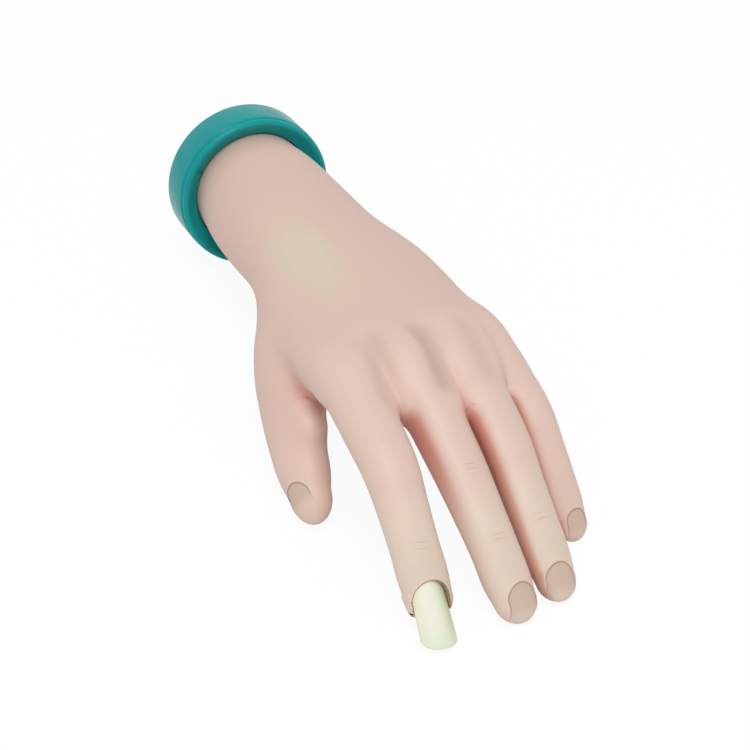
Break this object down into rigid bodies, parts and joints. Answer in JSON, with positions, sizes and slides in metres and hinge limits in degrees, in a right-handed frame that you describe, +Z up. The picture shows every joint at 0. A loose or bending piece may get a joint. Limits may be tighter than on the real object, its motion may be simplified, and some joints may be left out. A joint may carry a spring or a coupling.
{
  "type": "nail practice hand",
  "caption": "Jointed soft-skinned practice hand lying palm down, with a wrist collar, slotted fingertips and a fitted practice nail tip.",
  "frame": {"origin": "on the surface that the hand rests on, below the middle of its bounding box", "axes": "+Z up; the fingers point to -Y, the wrist collar is at +Y and the thumb is on the -X side"},
  "size_m": [0.0858, 0.239, 0.0602],
  "materials": {
    "skin": "matte soft PVC skin",
    "collar": "glossy moulded ABS",
    "plug": "satin moulded ABS",
    "practice_tip": "milky satin ABS",
    "plate": "natural moulded nylon",
    "foam": "open-cell polyurethane foam",
    "link": "stamped zinc-plated steel",
    "pin": "turned steel",
    "stem": "drawn steel rod",
    "screw": "zinc-plated steel"
  },
  "bodies": {
    "palm": {"wrist_collar": "collar", "base_plug": "plug", "base_screw": "screw", "wrist_stem": "stem", "palm_plate": "plate", "palm_foam": "foam", "palm_skin": "skin", "index_anchor_link": "link", "index_anchor_rivet": "pin", "index_root_pin": "pin", "middle_anchor_link": "link", "middle_anchor_rivet": "pin", "middle_root_pin": "pin", "ring_anchor_link": "link", "ring_anchor_rivet": "pin", "ring_root_pin": "pin", "little_anchor_link": "link", "little_anchor_rivet": "pin", "little_root_pin": "pin", "thumb_anchor_link": "link", "thumb_anchor_rivet": "pin", "thumb_root_pin": "pin"},
    "index_root": {"index_root_skin": "skin", "index_long_link": "link", "index_knuckle_pin": "pin"},
    "index_middle": {"index_middle_skin": "skin", "index_middle_link": "link", "index_tip_joint_pin": "pin"},
    "index_tip": {"index_tip_skin": "skin", "index_tip_link": "link"},
    "middle_root": {"middle_root_skin": "skin", "middle_long_link": "link", "middle_knuckle_pin": "pin"},
    "middle_middle": {"middle_middle_skin": "skin", "middle_middle_link": "link", "middle_tip_joint_pin": "pin"},
    "middle_tip": {"middle_tip_skin": "skin", "middle_tip_link": "link"},
    "ring_root": {"ring_root_skin": "skin", "ring_long_link": "link", "ring_knuckle_pin": "pin"},
    "ring_middle": {"ring_middle_skin": "skin", "ring_middle_link": "link", "ring_tip_joint_pin": "pin"},
    "ring_tip": {"ring_tip_skin": "skin", "ring_tip_link": "link"},
    "little_root": {"little_root_skin": "skin", "little_long_link": "link", "little_knuckle_pin": "pin"},
    "little_middle": {"little_middle_skin": "skin", "little_middle_link": "link", "little_tip_joint_pin": "pin"},
    "little_tip": {"little_tip_skin": "skin", "little_tip_link": "link"},
    "thumb_root": {"thumb_root_skin": "skin", "thumb_long_link": "link", "thumb_tip_joint_pin": "pin"},
    "thumb_tip": {"thumb_tip_skin": "skin", "thumb_tip_link": "link"},
    "practice_tip": {"index_practice_tip": "practice_tip"}
  },
  "joints": [
    {"name": "index_root_hinge", "type": "hinge", "parent": "palm", "child": "index_root", "pos_m": [-0.02004, -0.05457, 0.04494], "axis": [0.9971, -0.0334, -0.068], "range_deg": [-12, 25]},
    {"name": "index_knuckle_hinge", "type": "hinge", "parent": "index_root", "child": "index_middle", "pos_m": [-0.02112, -0.07566, 0.03953], "axis": [0.9971, -0.0334, -0.068], "range_deg": [-23, 35]},
    {"name": "index_tip_hinge", "type": "hinge", "parent": "index_middle", "child": "index_tip", "pos_m": [-0.02277, -0.09494, 0.02484], "axis": [0.9971, -0.0334, -0.068], "range_deg": [-10, 25]},
    {"name": "middle_root_hinge", "type": "hinge", "parent": "palm", "child": "middle_root", "pos_m": [0.00146, -0.05897, 0.04117], "axis": [0.9944, 0.0648, -0.0833], "range_deg": [-12, 30]},
    {"name": "middle_knuckle_hinge", "type": "hinge", "parent": "middle_root", "child": "middle_middle", "pos_m": [0.00187, -0.07733, 0.03184], "axis": [0.9944, 0.0648, -0.0833], "range_deg": [-5, 40]},
    {"name": "middle_tip_hinge", "type": "hinge", "parent": "middle_middle", "child": "middle_tip", "pos_m": [0.00218, -0.09987, 0.01791], "axis": [0.9944, 0.0648, -0.0833], "range_deg": [-8, 30]},
    {"name": "ring_root_hinge", "type": "hinge", "parent": "palm", "child": "ring_root", "pos_m": [0.01966, -0.05538, 0.04035], "axis": [0.9971, 0.0131, -0.0753], "range_deg": [-12, 30]},
    {"name": "ring_knuckle_hinge", "type": "hinge", "parent": "ring_root", "child": "ring_middle", "pos_m": [0.01936, -0.07382, 0.03315], "axis": [0.9971, 0.0131, -0.0753], "range_deg": [-12, 40]},
    {"name": "ring_tip_hinge", "type": "hinge", "parent": "ring_middle", "child": "ring_tip", "pos_m": [0.01853, -0.09586, 0.01828], "axis": [0.9971, 0.0131, -0.0753], "range_deg": [-5, 30]},
    {"name": "little_root_hinge", "type": "hinge", "parent": "palm", "child": "little_root", "pos_m": [0.03543, -0.0465, 0.03559], "axis": [0.9949, 0.0579, -0.0823], "range_deg": [-12, 30]},
    {"name": "little_knuckle_hinge", "type": "hinge", "parent": "little_root", "child": "little_middle", "pos_m": [0.03592, -0.0615, 0.03096], "axis": [0.9949, 0.0579, -0.0823], "range_deg": [-20, 40]},
    {"name": "little_tip_hinge", "type": "hinge", "parent": "little_middle", "child": "little_tip", "pos_m": [0.03578, -0.07762, 0.01798], "axis": [0.9949, 0.0579, -0.0823], "range_deg": [-7, 30]},
    {"name": "thumb_root_hinge", "type": "hinge", "parent": "palm", "child": "thumb_root", "pos_m": [-0.02823, -0.00982, 0.027], "axis": [0.7061, -0.466, 0.5331], "range_deg": [-12, 22]},
    {"name": "thumb_tip_hinge", "type": "hinge", "parent": "thumb_root", "child": "thumb_tip", "pos_m": [-0.03233, -0.02693, 0.01748], "axis": [0.7061, -0.466, 0.5331], "range_deg": [-10, 35]},
    {"name": "practice_tip_slide", "type": "slide", "parent": "index_tip", "child": "practice_tip", "axis": [-0.074, -0.6231, -0.7786], "range_m": [0, 0.008]}
  ]
}
